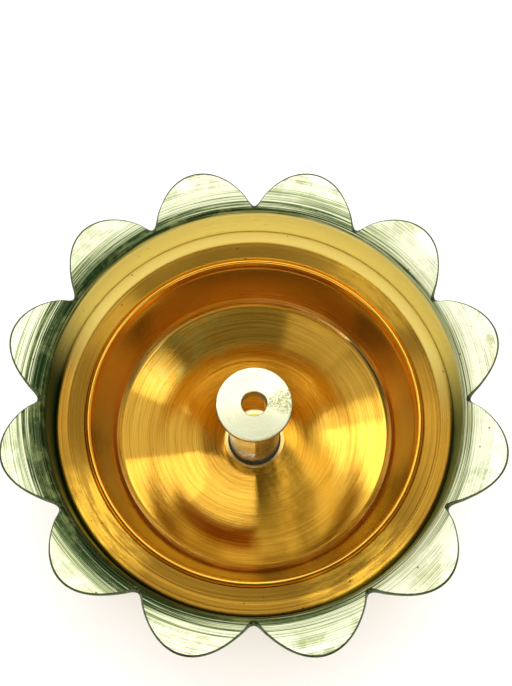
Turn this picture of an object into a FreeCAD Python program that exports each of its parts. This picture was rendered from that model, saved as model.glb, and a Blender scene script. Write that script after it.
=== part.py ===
"""Brass lotus oil lamp (diya): a foot, a lotus cup with twelve petals, an oil bowl and a wick holder.

Everything is turned about the Z axis, with the table at Z = 0. The oil bowl stands in the lotus
cup, the cup stands on the foot, and the wick holder screws down on a stud that rises from the
foot through both of them. Lengths are in millimetres.
"""
import FreeCAD, Part
import math
import os

from FreeCAD import Vector

os.makedirs("parts", exist_ok=True)

# Driving dimensions of the whole lamp
TIP_RADIUS = 50.8          # petal tips: four inches across
FOOT_HEIGHT = 16.0
FOOT_RADIUS = 27.0
BOWL_DEPTH = 24.0          # from the bead on the lip down to the floor
LIP_RADIUS = 35.2          # crest of the bead
PETAL_COUNT = 12
TIP_RISE = 14.5            # petal tips above the bead
FIT_GAP = 0.4              # between the bowl's flange and the cup's wall

# Oil bowl
BOWL_WALL = 1.8
FLOOR_SLOPE = 24           # degrees, of the floor's conical outer part
FLOOR_BEND = 18.0          # the floor is a spherical dish inside this radius and a cone outside it
CREASE_RADIUS = 31.2       # where the leaning wall meets the floor's cone
CREASE_ROUNDING = 4.0      # radius of the fillet there
BEAD_HALF_WIDTH = 0.5
BEAD_DROP = 0.5            # how far the bead stands above the flange's root
FLANGE_RADIUS = 41.7
FLANGE_RISE = 1.6          # outer edge of the flange above the bead
STEP_RADIUS = 39.1         # a turned groove here parts the sloping zone from the flat rim zone
STEP_RISE = 1.45           # the flange's height above the bead at the groove
FLANGE_THICKNESS = 1.6
FLANGE_EDGE = 0.7          # radius of the rounded outer edge
SEAT_RADIUS = 12.0         # flat seat under the bowl
SPOT_FACE_RADIUS = 7.0     # flat for the seal in the middle of the floor
BOWL_HOLE = 3.2

# Lotus cup
CUP_WALL = 1.2
PETAL_EDGE = 0.9           # thickness at the tips
CUP_CORNER = 26.0          # inside radius between the plate and the wall
FLARE_START = 8.45         # above the bead: the wall is straight up to here
LOBE_LENGTH = 26.0         # each petal is the end of an ellipse: half of its long axis
LOBE_WIDTH = 14.0          # and half of its short axis
LOBE_ROOT = 41.5           # radius of the disc that the ellipses stand out from, in plan
NOTCH_ROUNDING = 0.8
CUP_HOLE = 2.3

# Wick holder
TUBE_RADIUS = 5.75
TUBE_BORE = 4.8
CAP_RADIUS = 7.9
CAP_THICKNESS = 1.3
CAP_CROWN = 0.3            # the cap's middle stands this much above its rim
CAP_RISE = 7.4             # top of the cap above the bead
CAP_SPIGOT_LENGTH = 2.0
WICK_HOLE = 2.6
LEDGE_HEIGHT = 4.6         # bottom of the window above the tube's foot
WINDOW_HEIGHT = 17.9
WINDOW_FROM = 62.0         # degrees about Z: most of the wall on the left is cut away
WINDOW_TO = 272.0
SPIGOT_RADIUS = 3.1
SPIGOT_LENGTH = 2.3
THREAD_DEPTH = 4.5         # of the tapped hole in the spigot and foot of the tube

# Seal, stud and its fasteners (M4)
SEAL_RADIUS = 6.2
SEAL_THICKNESS = 0.7
STUD_RADIUS = 2.0
THREAD_CLEARANCE = 0.05
STUD_TOP_GAP = 0.5         # between the stud's end and the bottom of the tapped hole
COLLAR_RADIUS = 3.25
COLLAR_HEIGHT = 2.8
COLLAR_POCKET = 3.0        # depth of the counterbore that holds the collar
NUT_FLATS = 7.0
NUT_HEIGHT = 3.2
NUT_BEVEL = 0.5
WASHER_RADIUS = 4.5
WASHER_THICKNESS = 0.8
SPRING_RADIUS = 3.8
SPRING_THICKNESS = 0.9
SPRING_GAP = 0.8
STUD_TAIL = 1.2            # thread below the nut

# Foot, from the table up
BASE_HEIGHT = 3.4
BASE_EDGE = 0.6            # chamfers of the base
BASE_STEP = 2.5            # the shoulder is this much narrower than the base
SHOULDER_HEIGHT = 0.8
COVE_MIDDLE = Vector(14.4, 0, 7.2)
WAIST_RADIUS = 10.5
WAIST_Z = 11.5
WAIST_BEAD = 1.0           # radius of the half-round bead at the waist
FLARE_MIDDLE = Vector(12.2, 0, 13.4)
FOOT_TOP_RADIUS = 16.5
FOOT_TOP_EDGE = 1.4
CAVITY_RADIUS = 22.5       # hollow underside
CAVITY_EDGE = 1.6
NUT_POCKET_RADIUS = 7.2
NUT_POCKET_Z = 6.5
FOOT_CEILING = 9.0         # underside of the plate that the stud passes through

# Heights that follow
PLATE_TOP = FOOT_HEIGHT + CUP_WALL
FLOOR_Z = PLATE_TOP + BOWL_WALL
LIP_Z = FLOOR_Z + BOWL_DEPTH
TUBE_FOOT_Z = FLOOR_Z + SEAL_THICKNESS
CAP_TOP_Z = LIP_Z + CAP_RISE
CAP_BASE_Z = CAP_TOP_Z - CAP_THICKNESS - CAP_CROWN


def at(radius, height):
    """A point of a turned profile."""
    return Vector(radius, 0, height)


def line(start, end):
    return Part.LineSegment(start, end).toShape()


def lines(*points):
    """The straight edges that join these points in turn."""
    return [line(a, b) for a, b in zip(points, points[1:])]


def arc(start, middle, end):
    return Part.Arc(start, middle, end).toShape()


def arc_about(centre, radius, start_deg, end_deg):
    """The arc about a centre in the profile plane, by angles from +X towards +Z."""
    def point(deg):
        turn = math.radians(deg)
        return centre + Vector(radius * math.cos(turn), 0, radius * math.sin(turn))
    return arc(point(start_deg), point((start_deg + end_deg) / 2), point(end_deg))


def quarter_ellipse(centre, across, rise):
    """From level with the centre, on the side of the axis, to right above the centre."""
    level = centre - Vector(across, 0, 0)
    above = centre + Vector(0, 0, rise)
    ellipse = Part.Ellipse(level, above, centre)
    return Part.ArcOfEllipse(ellipse, 0, math.pi / 2).toShape()


def turned(edges):
    """The solid that a closed profile sweeps about the Z axis."""
    wire = Part.Wire(Part.__sortEdges__(edges))
    return Part.Face(wire).revolve(Vector(0, 0, 0), Vector(0, 0, 1), 360)


def ring(inner, outer, bottom, top):
    """A flat washer or a tube."""
    corners = [at(inner, bottom), at(outer, bottom), at(outer, top), at(inner, top)]
    return turned(lines(*corners, corners[0]))


def rod(radius, bottom, top):
    return Part.makeCylinder(radius, top - bottom, Vector(0, 0, bottom))


def lines_meet(start, along, other, other_along):
    """Where the line through start meets the line through other."""
    gap = other - start
    cross = along.x * other_along.z - along.z * other_along.x
    return start + along * ((gap.x * other_along.z - gap.z * other_along.x) / cross)


def rounded_corner(before, corner, after, radius):
    """Start, middle and end of the fillet arc at a corner between two straight lines."""
    back = (before - corner).normalize()
    ahead = (after - corner).normalize()
    half = back.getAngle(ahead) / 2
    middle = corner + (back + ahead).normalize() * (radius / math.sin(half) - radius)
    reach = radius / math.tan(half)
    return corner + back * reach, middle, corner + ahead * reach


def make_oil_bowl():
    """A dished floor, a leaning wall, a bead on the lip and a flange with a slope and a flat."""
    slope = math.radians(FLOOR_SLOPE)
    dish = FLOOR_BEND / math.sin(slope)
    centre = at(0, FLOOR_Z + dish)
    under_dish = dish + BOWL_WALL

    def dish_point(radius, size):
        return at(radius, centre.z - math.sqrt(size ** 2 - radius ** 2))

    def dish_angle(radius, size):
        return -math.degrees(math.acos(radius / size))

    bend = dish_point(FLOOR_BEND, dish)
    crease = at(CREASE_RADIUS, bend.z + (CREASE_RADIUS - FLOOR_BEND) * math.tan(slope))
    under_bend = bend + at(math.sin(slope), -math.cos(slope)) * BOWL_WALL
    wall_top = at(LIP_RADIUS - BEAD_HALF_WIDTH, LIP_Z - BEAD_DROP)
    fillet = rounded_corner(bend, crease, wall_top, CREASE_ROUNDING)
    lean = (wall_top - crease).normalize()
    outwards = Vector(lean.z, 0, -lean.x) * BOWL_WALL
    under_crease = lines_meet(wall_top + outwards, lean, under_bend,
                              at(math.cos(slope), math.sin(slope)))
    bead_out = at(LIP_RADIUS + BEAD_HALF_WIDTH, wall_top.z)
    step = at(STEP_RADIUS, LIP_Z + STEP_RISE)
    rim_x = FLANGE_RADIUS - FLANGE_EDGE
    rim_top = at(rim_x, LIP_Z + FLANGE_RISE)
    rim_low = at(rim_x, rim_top.z - FLANGE_THICKNESS)
    rim_mid = at(FLANGE_RADIUS, (rim_top.z + rim_low.z) / 2)
    root_z = bead_out.z - FLANGE_THICKNESS
    under_root = under_crease + lean * ((root_z - under_crease.z) / lean.z)
    edges = [
        arc_about(centre, dish, dish_angle(SPOT_FACE_RADIUS, dish), FLOOR_SLOPE - 90),
        line(bend, fillet[0]),
        arc(*fillet),
        line(fillet[2], wall_top),
        arc(wall_top, at(LIP_RADIUS, LIP_Z), bead_out),
        line(bead_out, step),
        line(step, rim_top),
        arc(rim_top, rim_mid, rim_low),
        line(rim_low, under_root),
        line(under_root, under_crease),
        line(under_crease, under_bend),
        arc_about(centre, under_dish, FLOOR_SLOPE - 90, dish_angle(SEAT_RADIUS, under_dish)),
    ]
    edges += lines(dish_point(SEAT_RADIUS, under_dish), at(SEAT_RADIUS, PLATE_TOP),
                   at(BOWL_HOLE, PLATE_TOP), at(BOWL_HOLE, FLOOR_Z),
                   at(SPOT_FACE_RADIUS, FLOOR_Z), dish_point(SPOT_FACE_RADIUS, dish))
    return turned(edges)


def petal_outline():
    """The flower seen from above, as a prism: a disc and the end of one ellipse for each petal."""
    height = 2 * TIP_RISE
    lobe_centre = Vector(TIP_RADIUS - LOBE_LENGTH, 0, 0)
    ellipse = Part.Ellipse(Vector(TIP_RADIUS, 0, 0), lobe_centre + Vector(0, LOBE_WIDTH, 0),
                           lobe_centre)
    petal = Part.Face(Part.Wire(ellipse.toShape())).extrude(Vector(0, 0, height))
    flower = Part.makeCylinder(LOBE_ROOT, height)
    for index in range(PETAL_COUNT):
        one = petal.copy()
        one.rotate(Vector(0, 0, 0), Vector(0, 0, 1), 360 / PETAL_COUNT * (index + 0.5))
        flower = flower.fuse(one)
    flower = flower.removeSplitter()
    notches = [edge for edge in flower.Edges if is_notch(edge)]
    flower = flower.makeFillet(NOTCH_ROUNDING, notches)
    flower.translate(Vector(0, 0, LIP_Z + FLARE_START))
    return flower


def is_notch(edge):
    """Whether this upright edge of the flower lies where two petals meet."""
    ends = [vertex.Point for vertex in edge.Vertexes]
    if len(ends) != 2 or abs(ends[0].z - ends[1].z) < TIP_RISE:
        return False
    pitch = 2 * math.pi / PETAL_COUNT
    turns = math.atan2(ends[0].y, ends[0].x) / pitch
    return abs(turns - round(turns)) < 0.01 and math.hypot(ends[0].x, ends[0].y) > LOBE_ROOT


def make_lotus_cup():
    """A thin turned cup whose flared rim is cut into petals."""
    wall = FLANGE_RADIUS + FIT_GAP
    corner = at(wall - CUP_CORNER, PLATE_TOP + CUP_CORNER)
    flare = at(TIP_RADIUS, LIP_Z + FLARE_START)
    rise = TIP_RISE - FLARE_START
    across = TIP_RADIUS - wall
    inner = [
        line(at(CUP_HOLE, PLATE_TOP), at(corner.x, PLATE_TOP)),
        arc_about(corner, CUP_CORNER, -90, 0),
        line(at(wall, corner.z), at(wall, flare.z)),
        quarter_ellipse(flare, across, rise),
    ]
    outer = [
        line(at(TIP_RADIUS, flare.z + rise), at(TIP_RADIUS, flare.z + rise - PETAL_EDGE)),
        quarter_ellipse(flare, across - CUP_WALL, rise - PETAL_EDGE),
        line(at(wall + CUP_WALL, flare.z), at(wall + CUP_WALL, corner.z)),
        arc_about(corner, CUP_CORNER + CUP_WALL, 0, -90),
        line(at(corner.x, FOOT_HEIGHT), at(CUP_HOLE, FOOT_HEIGHT)),
        line(at(CUP_HOLE, FOOT_HEIGHT), at(CUP_HOLE, PLATE_TOP)),
    ]
    shell = turned(inner + outer)
    rim_z = LIP_Z + FLARE_START
    slab = Part.makeCylinder(2 * TIP_RADIUS, 2 * TIP_RISE, Vector(0, 0, rim_z))
    rim = shell.common(slab).common(petal_outline())
    return shell.cut(slab).fuse(rim).removeSplitter()


def make_wick_tube():
    """A tube with a solid foot, a tapped spigot under it and a window cut through its wall."""
    ledge = TUBE_FOOT_Z + LEDGE_HEIGHT
    spigot_end = TUBE_FOOT_Z - SPIGOT_LENGTH
    body = rod(TUBE_RADIUS, TUBE_FOOT_Z, CAP_BASE_Z)
    body = body.cut(rod(TUBE_BORE, ledge, CAP_BASE_Z))
    body = body.fuse(rod(SPIGOT_RADIUS, spigot_end, TUBE_FOOT_Z)).removeSplitter()
    thread = rod(STUD_RADIUS + THREAD_CLEARANCE, spigot_end, spigot_end + THREAD_DEPTH)
    window = Part.makeCylinder(2 * TUBE_RADIUS, WINDOW_HEIGHT, Vector(0, 0, ledge),
                               Vector(0, 0, 1), WINDOW_TO - WINDOW_FROM)
    window.rotate(Vector(0, 0, 0), Vector(0, 0, 1), WINDOW_FROM)
    return body.cut(thread).cut(window)


def make_wick_cap():
    """A disc that rises a little to its hole, over a spigot that is pressed into the tube."""
    spigot_z = CAP_BASE_Z - CAP_SPIGOT_LENGTH
    corners = [
        at(WICK_HOLE, spigot_z), at(TUBE_BORE, spigot_z), at(TUBE_BORE, CAP_BASE_Z),
        at(CAP_RADIUS, CAP_BASE_Z), at(CAP_RADIUS, CAP_TOP_Z - CAP_CROWN),
        at(WICK_HOLE, CAP_TOP_Z),
    ]
    return turned(lines(*corners, corners[0]))


def make_seal():
    """A flat ring between the tube's foot and the bowl's floor."""
    return ring(BOWL_HOLE, SEAL_RADIUS, FLOOR_Z, TUBE_FOOT_Z)


def make_foot():
    """A turned foot: a stepped base, a cove, a bead at the waist and a flared top plate."""
    shoulder = FOOT_RADIUS - BASE_STEP
    under_bead = at(WAIST_RADIUS, WAIST_Z - WAIST_BEAD)
    over_bead = at(WAIST_RADIUS, WAIST_Z + WAIST_BEAD)
    bead = at(WAIST_RADIUS + WAIST_BEAD, WAIST_Z)
    plate_edge = at(FOOT_TOP_RADIUS, FOOT_HEIGHT - FOOT_TOP_EDGE)
    edges = lines(
        at(CAVITY_RADIUS, 0), at(FOOT_RADIUS - BASE_EDGE, 0), at(FOOT_RADIUS, BASE_EDGE),
        at(FOOT_RADIUS, BASE_HEIGHT - BASE_EDGE), at(FOOT_RADIUS - BASE_EDGE, BASE_HEIGHT),
        at(shoulder, BASE_HEIGHT), at(shoulder, BASE_HEIGHT + SHOULDER_HEIGHT))
    edges += [
        arc(at(shoulder, BASE_HEIGHT + SHOULDER_HEIGHT), COVE_MIDDLE, under_bead),
        arc(under_bead, bead, over_bead),
        arc(over_bead, FLARE_MIDDLE, plate_edge),
    ]
    clear = STUD_RADIUS + 2 * THREAD_CLEARANCE
    collar = COLLAR_RADIUS + THREAD_CLEARANCE
    pocket = FOOT_HEIGHT - COLLAR_POCKET
    edges += lines(
        plate_edge, at(FOOT_TOP_RADIUS, FOOT_HEIGHT), at(collar, FOOT_HEIGHT),
        at(collar, pocket), at(clear, pocket), at(clear, FOOT_CEILING),
        at(NUT_POCKET_RADIUS, FOOT_CEILING), at(NUT_POCKET_RADIUS, NUT_POCKET_Z),
        at(CAVITY_RADIUS, CAVITY_EDGE), at(CAVITY_RADIUS, 0))
    return turned(edges)


def make_stud():
    """A shouldered stud: its collar sits in the foot, and the nut below pulls it down."""
    pocket = FOOT_HEIGHT - COLLAR_POCKET
    top = TUBE_FOOT_Z - SPIGOT_LENGTH + THREAD_DEPTH - STUD_TOP_GAP
    stud = rod(STUD_RADIUS, nut_bottom() - STUD_TAIL, top)
    return stud.fuse(rod(COLLAR_RADIUS, pocket, pocket + COLLAR_HEIGHT)).removeSplitter()


def nut_bottom():
    return FOOT_CEILING - WASHER_THICKNESS - SPRING_THICKNESS - NUT_HEIGHT


def make_nut():
    """A hexagon nut whose corners are turned off at both ends."""
    corner = NUT_FLATS / 2 / math.cos(math.pi / 6)
    points = [Vector(corner * math.cos(math.radians(60 * i)),
                     corner * math.sin(math.radians(60 * i)), 0) for i in range(7)]
    hexagon = Part.Face(Part.makePolygon(points)).extrude(Vector(0, 0, NUT_HEIGHT))
    turned_off = turned(lines(
        at(0, 0), at(corner - NUT_BEVEL, 0), at(corner, NUT_BEVEL),
        at(corner, NUT_HEIGHT - NUT_BEVEL), at(corner - NUT_BEVEL, NUT_HEIGHT),
        at(0, NUT_HEIGHT), at(0, 0)))
    nut = hexagon.common(turned_off)
    nut = nut.cut(rod(STUD_RADIUS + THREAD_CLEARANCE, -1, NUT_HEIGHT + 1))
    nut.translate(Vector(0, 0, nut_bottom()))
    return nut


def make_flat_washer():
    return ring(STUD_RADIUS + 2 * THREAD_CLEARANCE, WASHER_RADIUS,
                FOOT_CEILING - WASHER_THICKNESS, FOOT_CEILING)


def make_spring_washer():
    """A split ring, flattened by the tightened nut."""
    top = FOOT_CEILING - WASHER_THICKNESS
    washer = ring(STUD_RADIUS + 2 * THREAD_CLEARANCE, SPRING_RADIUS,
                  top - SPRING_THICKNESS, top)
    split = Part.makeBox(2 * SPRING_RADIUS, SPRING_GAP, 2 * SPRING_THICKNESS,
                         Vector(0, -SPRING_GAP / 2, top - 1.5 * SPRING_THICKNESS))
    return washer.cut(split)


PARTS = {
    "wick_cap": make_wick_cap,
    "wick_tube": make_wick_tube,
    "seal_washer": make_seal,
    "oil_bowl": make_oil_bowl,
    "lotus_cup": make_lotus_cup,
    "foot": make_foot,
    "centre_stud": make_stud,
    "flat_washer": make_flat_washer,
    "spring_washer": make_spring_washer,
    "stud_nut": make_nut,
}

for name, make in PARTS.items():
    shape = make()
    print(f"{name}: {len(shape.Solids)} solid, valid {shape.isValid()}, {shape.Volume:.0f} mm3")
    shape.exportStep(f"parts/{name}.step")
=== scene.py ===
"""Brass lotus oil lamp (diya): turned meshes, brass materials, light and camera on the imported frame.

Lengths are metres, in the frame of the CAD model: the lamp stands on Z = 0 about the Z axis, and the
camera looks down from the -Y side. Every visible piece is a section swept about Z and replaces the
CAD node whose size it takes.
"""
import math
import random

import bmesh
import bpy
import numpy as np
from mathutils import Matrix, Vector


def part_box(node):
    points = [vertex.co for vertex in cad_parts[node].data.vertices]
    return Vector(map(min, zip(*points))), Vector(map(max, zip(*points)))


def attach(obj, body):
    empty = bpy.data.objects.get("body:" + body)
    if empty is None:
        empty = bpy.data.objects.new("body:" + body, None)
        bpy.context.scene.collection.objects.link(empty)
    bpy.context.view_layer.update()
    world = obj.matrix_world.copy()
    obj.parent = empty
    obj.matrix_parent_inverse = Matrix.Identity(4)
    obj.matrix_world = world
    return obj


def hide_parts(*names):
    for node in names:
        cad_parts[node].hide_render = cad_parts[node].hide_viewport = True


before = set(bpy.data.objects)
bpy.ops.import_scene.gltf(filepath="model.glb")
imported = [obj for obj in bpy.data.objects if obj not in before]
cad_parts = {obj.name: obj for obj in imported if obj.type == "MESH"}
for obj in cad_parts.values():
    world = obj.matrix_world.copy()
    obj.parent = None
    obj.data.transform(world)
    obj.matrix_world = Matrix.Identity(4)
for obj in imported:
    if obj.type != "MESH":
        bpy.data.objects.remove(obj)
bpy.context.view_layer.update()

MM = 0.001
SEGMENTS = 360             # steps of a full turn on the large pieces
SMALL_SEGMENTS = 96        # and on the small ones
TURN = 2 * math.pi


# ---------------------------------------------------------------- sizes, from the frame

def node_size(node):
    """(largest radius, lowest z, highest z) of a CAD node."""
    low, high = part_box(node)
    return max(high.x, -low.x, high.y), low.z, high.z


FOOT_R, FOOT_Z, FOOT_TOP = node_size("foot")
FLANGE_R, PLATE_TOP, FLANGE_TOP = node_size("oil_bowl")
CAP_R, CAP_SPIGOT_Z, CAP_TOP = node_size("wick_cap")
TUBE_R, SPIGOT_Z, TUBE_TOP = node_size("wick_tube")
SEAL_R, FLOOR_Z, TUBE_FOOT = node_size("seal_washer")
STUD_COLLAR_R, STUD_Z, STUD_TOP = node_size("centre_stud")
WASHER_R, WASHER_Z, WASHER_TOP = node_size("flat_washer")
SPRING_R, SPRING_Z, SPRING_TOP = node_size("spring_washer")
NUT_CORNER_R, NUT_Z, NUT_TOP = node_size("stud_nut")
TIP_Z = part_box("lotus_cup")[1].z

EPS = 0.02 * MM                    # clearance kept inside the CAD box
PETALS = 12
PITCH = TURN / PETALS
LIP_Z = FLANGE_TOP - 1.6 * MM      # crest of the bead on the bowl's lip
LIP_R = 35.2 * MM
TIP_R = 50.8 * MM - EPS
WALL_R = FLANGE_R + 0.4 * MM       # inside of the lotus cup's wall
CUP_WALL = 1.2 * MM
PETAL_EDGE = 0.9 * MM
FLARE_Z = LIP_Z + 8.45 * MM        # the cup's wall is upright below this
STUD_R = 2.0 * MM


# ---------------------------------------------------------------- profiles

def arc(centre, radius, start_deg, end_deg, steps):
    """Points of an arc in the (radius, z) plane."""
    angles = np.radians(np.linspace(start_deg, end_deg, steps + 1))
    return [(centre[0] + radius * math.cos(a), centre[1] + radius * math.sin(a)) for a in angles]


def rounded(corners, steps=5):
    """A path through (r, z, rounding) corners, each corner rounded by its own radius."""
    path = []
    last = len(corners) - 1
    for index, (r, z, size) in enumerate(corners):
        here = np.array((r, z))
        if size == 0 or index in (0, last):
            path.append((r, z))
            continue
        before = np.array(corners[index - 1][:2]) - here
        after = np.array(corners[index + 1][:2]) - here
        before_len, after_len = np.linalg.norm(before), np.linalg.norm(after)
        before, after = before / before_len, after / after_len
        half = math.acos(max(-1.0, min(1.0, float(before @ after)))) / 2
        reach = min(size / math.tan(half), 0.49 * before_len, 0.49 * after_len)
        start, end = here + before * reach, here + after * reach
        for t in np.linspace(0, 1, steps + 1):
            point = start * (1 - t) ** 2 + here * 2 * t * (1 - t) + end * t ** 2
            path.append((float(point[0]), float(point[1])))
    return path


def dense(path, step):
    """The same path with points at most step apart."""
    out = [path[0]]
    for (r0, z0), (r1, z1) in zip(path, path[1:]):
        pieces = max(1, math.ceil(math.hypot(r1 - r0, z1 - z0) / step))
        out += [(r0 + (r1 - r0) * k / pieces, z0 + (z1 - z0) * k / pieces)
                for k in range(1, pieces + 1)]
    return out


class Ripple:
    """Smooth one-dimensional noise for turning marks, the same on every run."""

    COUNT = 1024           # random values before the noise repeats

    def __init__(self, seed, wavelength, height):
        draw = random.Random(seed)
        self.values = [draw.uniform(-1, 1) for _ in range(self.COUNT)]
        self.wavelength = wavelength
        self.height = height

    def __call__(self, along):
        place = along / self.wavelength
        index = math.floor(place)
        t = place - index
        t = t * t * (3 - 2 * t)
        a, b = self.values[index % self.COUNT], self.values[(index + 1) % self.COUNT]
        return self.height * (a + (b - a) * t)


def line_mark(along, place, width, depth):
    """A fine turned groove: a rounded dip of the given width and depth."""
    return -depth * math.exp(-((along - place) / (0.5 * width)) ** 2)


def marked(path, height_at):
    """Moves a path along its own normal, to the left of its direction, by height_at(r, z, length)."""
    points = np.array(path)
    tangent = np.gradient(points, axis=0)
    tangent /= np.maximum(np.linalg.norm(tangent, axis=1, keepdims=True), 1e-12)
    normal = np.stack([-tangent[:, 1], tangent[:, 0]], 1)
    lengths = np.concatenate([[0], np.cumsum(np.linalg.norm(np.diff(points, axis=0), axis=1))])
    heights = np.array([height_at(r, z, s) for (r, z), s in zip(points, lengths)])
    points = points + normal * heights[:, None]
    return [tuple(p) for p in points]


# ---------------------------------------------------------------- meshes

def make_object(name, verts, faces, body, nodes, slot, materials, zones=None, crease_deg=40):
    """A mesh piece that stands for CAD nodes. zones gives each face's place in materials."""
    mesh = bpy.data.meshes.new(name)
    mesh.from_pydata([tuple(v) for v in verts], [], faces)
    for material in materials:
        mesh.materials.append(material)
    if zones is not None:
        mesh.polygons.foreach_set("material_index", zones)
    mesh.validate()
    work = bmesh.new()
    work.from_mesh(mesh)
    bmesh.ops.remove_doubles(work, verts=work.verts, dist=1e-7)
    bmesh.ops.recalc_face_normals(work, faces=work.faces)
    work.to_mesh(mesh)
    work.free()
    mesh.shade_smooth()
    mesh.set_sharp_from_angle(angle=math.radians(crease_deg))
    piece = bpy.data.objects.new(name, mesh)
    bpy.context.scene.collection.objects.link(piece)
    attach(piece, body)
    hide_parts(*nodes)
    return piece


def sweep(section_at, angles, closed_turn=True):
    """Vertices and quads of a closed section swept about Z; section_at(angle) is its (r, z) points."""
    rings = [section_at(a) for a in angles]
    count = len(rings[0])
    verts = []
    for angle, ring in zip(angles, rings):
        c, s = math.cos(angle), math.sin(angle)
        verts += [(r * c, r * s, z) for r, z in ring]
    faces = []
    turns = len(angles) if closed_turn else len(angles) - 1
    for i in range(turns):
        j = (i + 1) % len(angles)
        for k in range(count):
            n = (k + 1) % count
            faces.append((i * count + k, j * count + k, j * count + n, i * count + n))
    if not closed_turn:
        faces.append(tuple(range(count)))
        faces.append(tuple(range((len(angles) - 1) * count, len(angles) * count))[::-1])
    return verts, faces


def full_turn(steps):
    return [TURN * k / steps for k in range(steps)]


def turned_piece(name, parts, steps, **about):
    """A closed section swept right round; parts is a list of (path, zone), end to end."""
    section = [point for path, zone in parts for point in path]
    zone_of = [zone for path, zone in parts for point in path]
    verts, faces = sweep(lambda angle: section, full_turn(steps))
    return make_object(name, verts, faces, zones=zone_of * steps, **about)


# ---------------------------------------------------------------- oil bowl

FLOOR_SLOPE = math.radians(24)     # of the floor's conical outer part
FLOOR_BEND = 18.0 * MM             # a spherical dish inside this radius
CREASE_R = 31.2 * MM               # where the floor turns up into the wall
CREASE_ROUNDING = 4.0 * MM
BEAD_R = 0.5 * MM                  # of the bead's own half circle
STEP_R = 39.1 * MM                 # a groove parts the flange's slope from its flat rim
STEP_DROP = 0.15 * MM
RIM_ROUNDING = 0.8 * MM
SEAT_R = 12.0 * MM                 # flat seat under the bowl
BOWL_WALL = 1.8 * MM
SPOT_FACE_R = 7.0 * MM
BOWL_HOLE = 3.2 * MM               # radius


def bowl_section():
    """Closed profile, from the middle of the floor out over the lip and back underneath."""
    dish = FLOOR_BEND / math.sin(FLOOR_SLOPE)
    centre = (0.0, FLOOR_Z + dish)
    bend_deg = math.degrees(FLOOR_SLOPE) - 90
    start_deg = -math.degrees(math.acos(SPOT_FACE_R / dish))
    dished = arc(centre, dish, start_deg, bend_deg, 60)
    bend = dished[-1]
    crease = (CREASE_R, bend[1] + (CREASE_R - bend[0]) * math.tan(FLOOR_SLOPE))
    lip_in = (LIP_R - BEAD_R, LIP_Z - BEAD_R)
    wall = rounded([(*bend, 0), (*crease, CREASE_ROUNDING), (*lip_in, 0)], steps=20)
    floor = dense(dished, 0.16 * MM)
    wall = dense(wall, 0.16 * MM)
    coarse = Ripple(3, 1.1 * MM, 0.0022 * MM)
    fine = Ripple(4, 0.42 * MM, 0.0008 * MM)
    wave = Ripple(5, 5.0 * MM, 0.010 * MM)

    def floor_height(r, z, s):
        return 1.9 * coarse(s) + 1.2 * fine(s) + wave(s)

    def wall_height(r, z, s):
        below = LIP_Z - z
        marks = line_mark(below, 1.9 * MM, 0.25 * MM, 0.035 * MM)
        for place, depth in ((11.6, 0.015), (12.9, 0.03), (13.9, 0.04), (14.8, 0.03)):
            marks += line_mark(below, place * MM, 0.35 * MM, depth * MM)
        return marks + 0.5 * coarse(s) + 0.6 * wave(s)

    bead = arc((LIP_R, lip_in[1]), BEAD_R, 180, 0, 12)
    flange_start = (LIP_R + 0.62 * MM, LIP_Z - 0.62 * MM)
    rim_r = FLANGE_R - 0.5 * MM
    step = (STEP_R, FLANGE_TOP - STEP_DROP)
    flange = dense([flange_start, (LIP_R + 0.9 * MM, LIP_Z - 0.27 * MM), step, (rim_r, FLANGE_TOP)],
                   0.14 * MM)

    def flange_height(r, z, s):
        marks = 0.0
        for place, depth in ((STEP_R - 0.6 * MM, 0.03), (STEP_R, 0.06), (STEP_R + 1.5 * MM, 0.012)):
            marks += line_mark(r, place, 0.2 * MM, depth * MM)
        return marks + 0.2 * coarse(s) + 0.3 * fine(s)

    rim = arc((rim_r, FLANGE_TOP - RIM_ROUNDING), RIM_ROUNDING, 90, -90, 12)
    rim_out = WALL_R - 0.08 * MM - rim_r
    rim = [(rim_r + (r - rim_r) * rim_out / RIM_ROUNDING, z) for r, z in rim]
    under_z = rim[-1][1]
    under = dish + BOWL_WALL
    seat_deg = -math.degrees(math.acos(SEAT_R / under))
    root = (LIP_R + 1.1 * MM, LIP_Z - 2.1 * MM)
    heel = (CREASE_R + 1.4 * MM, crease[1] - 1.3 * MM)
    below = [(rim_r, under_z), root, heel]
    below += arc(centre, under, bend_deg, seat_deg, 40)
    below += [(SEAT_R, PLATE_TOP), (BOWL_HOLE, PLATE_TOP), (BOWL_HOLE, FLOOR_Z),
              (SPOT_FACE_R, FLOOR_Z)]
    polished, satin, hidden = 0, 1, 2
    return [(marked(floor, floor_height) + marked(wall, wall_height)[1:] + bead, polished),
            (marked(flange, flange_height) + rim[1:], satin), (below[1:], hidden)]


def build_bowl(polished, satin, hidden):
    return turned_piece("oil_bowl_turned", bowl_section(), SEGMENTS, body="bowl",
                        nodes=["oil_bowl"], slot="bowl_brass",
                        materials=[polished, satin, hidden])


# ---------------------------------------------------------------- lotus cup

CUP_HOLE = 2.3 * MM        # radius
CUP_CORNER = 26.0 * MM     # radius of the bend from plate to wall
LOBE_LENGTH = 26.0 * MM
LOBE_WIDTH = 14.0 * MM
NOTCH_R = 42.75 * MM
NOTCH_BLUNT = 0.045        # half of the angle over which a notch's bottom is rounded, radians
INNER_STEPS = 64           # steps along the flared part, from its root to the petal's edge
EDGE_SOFTNESS = 0.12 * MM  # the petals' cut edge is broken by this much
EDGE_FRACTION = 0.18       # and this part of its width


def lobe_radius(local):
    """Radius of a petal's edge in plan at an angle from the petal's own middle."""
    centre = TIP_R - LOBE_LENGTH
    c, s = math.cos(local) / LOBE_LENGTH, math.sin(local) / LOBE_WIDTH
    shift = centre / LOBE_LENGTH
    a, b = c * c + s * s, c * shift
    return (b + math.sqrt(b * b - a * (shift * shift - 1))) / a


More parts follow.
